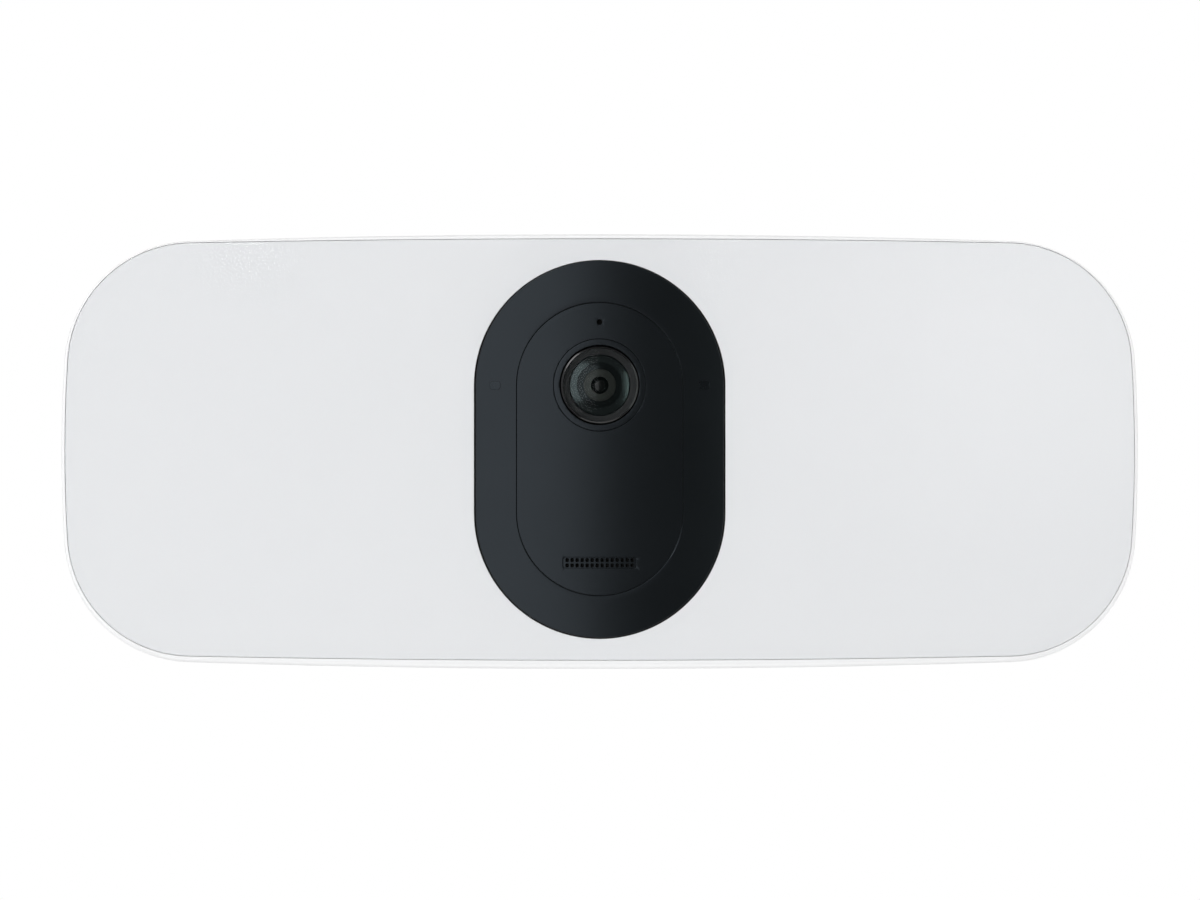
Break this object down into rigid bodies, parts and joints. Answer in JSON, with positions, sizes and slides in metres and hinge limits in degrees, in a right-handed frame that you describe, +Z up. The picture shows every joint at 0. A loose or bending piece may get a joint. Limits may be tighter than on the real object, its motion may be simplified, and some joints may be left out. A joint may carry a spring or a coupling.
{
  "type": "floodlight security camera",
  "caption": "Wide opal light panel round an upright black camera capsule, with a slide-out battery behind it, on a wall mount that pans and tilts.",
  "frame": {"origin": "centre of the wall plate's back face, on the wall", "axes": "+Y into the wall, +Z up, +X to the right as seen from the front; the camera looks along -Y"},
  "size_m": [0.372, 0.1398, 0.1502],
  "materials": {
    "white_plastic": "fine satin moulded plastic",
    "diffuser_plastic": "satin opal plastic",
    "black_plastic": "satin black plastic",
    "inner_black": "matte black plastic",
    "reflector_white": "matte white plastic",
    "rubber": "matte rubber",
    "lens_glass": "coated optical glass",
    "smoked_plastic": "polished epoxy",
    "steel": "plated steel",
    "aluminium": "rolled sheet",
    "circuit_board": "solder mask",
    "cell_wrap": "shrink wrap over a metal can"
  },
  "bodies": {
    "wall_mount": {"wall_plate": "steel", "base_cover": "white_plastic", "base_lock_screw": "steel", "pan_bolt": "steel", "pan_nut": "steel", "pan_washer_upper": "rubber", "pan_washer_lower": "rubber"},
    "swivel": {"swivel_block": "white_plastic", "tilt_washer_left": "rubber", "tilt_washer_right": "rubber"},
    "head": {"tilt_yoke": "white_plastic", "yoke_screw_1": "steel", "yoke_screw_2": "steel", "yoke_screw_3": "steel", "yoke_screw_4": "steel", "tilt_bolt": "steel", "tilt_nut": "steel", "rear_housing": "white_plastic", "housing_seal": "rubber", "battery_bay": "inner_black", "battery_connector": "inner_black", "power_board": "circuit_board", "siren": "inner_black", "charge_port": "inner_black", "panel_shell": "white_plastic", "diffuser": "diffuser_plastic", "panel_seal": "rubber", "light_reflector": "reflector_white", "led_board_left": "circuit_board", "led_board_right": "circuit_board", "heat_spreader_left": "aluminium", "heat_spreader_right": "aluminium", "led_cable_left": "inner_black", "led_cable_right": "inner_black", "camera_bezel": "black_plastic", "face_plate": "black_plastic", "lens_ring": "black_plastic", "lens_cover": "lens_glass", "lens_barrel": "inner_black", "lens_front_element": "lens_glass", "lens_rear_element": "lens_glass", "sensor_board": "circuit_board", "ir_led_left": "smoked_plastic", "ir_led_right": "smoked_plastic", "motion_sensor": "steel", "microphone": "rubber", "speaker": "inner_black", "speaker_mesh": "steel", "main_board": "circuit_board", "camera_chassis": "inner_black"},
    "battery": {"battery_case": "inner_black", "battery_cap": "white_plastic", "battery_cell_1": "cell_wrap", "battery_cell_2": "cell_wrap", "battery_cell_3": "cell_wrap", "release_spring": "steel"},
    "release": {"release_button": "white_plastic"},
    "sync": {"sync_button": "white_plastic"},
    "filter": {"ir_filter_shuttle": "inner_black", "ir_filter_glass": "lens_glass"}
  },
  "joints": [
    {"name": "mount_pan", "type": "hinge", "parent": "wall_mount", "child": "swivel", "pos_m": [0, -0.02, 0], "axis": [0, 0, 1], "range_deg": [-30, 30]},
    {"name": "mount_tilt", "type": "hinge", "parent": "swivel", "child": "head", "pos_m": [0, -0.038, 0], "axis": [1, 0, 0], "range_deg": [-20, 45]},
    {"name": "battery_slide", "type": "slide", "parent": "head", "child": "battery", "axis": [0, 0, -1], "range_m": [0, 0.1]},
    {"name": "release_press", "type": "slide", "parent": "battery", "child": "release", "axis": [0, 0, 1], "range_m": [0, 0.002], "stiffness_N_per_m": 500, "springref_m": -0.001, "deforming": ["release_spring"]},
    {"name": "sync_press", "type": "slide", "parent": "head", "child": "sync", "axis": [0, -1, 0], "range_m": [0, 0.001], "stiffness_N_per_m": 800, "springref_m": -0.001},
    {"name": "ir_filter_slide", "type": "slide", "parent": "head", "child": "filter", "axis": [1, 0, 0], "range_m": [0, 0.0105]}
  ]
}
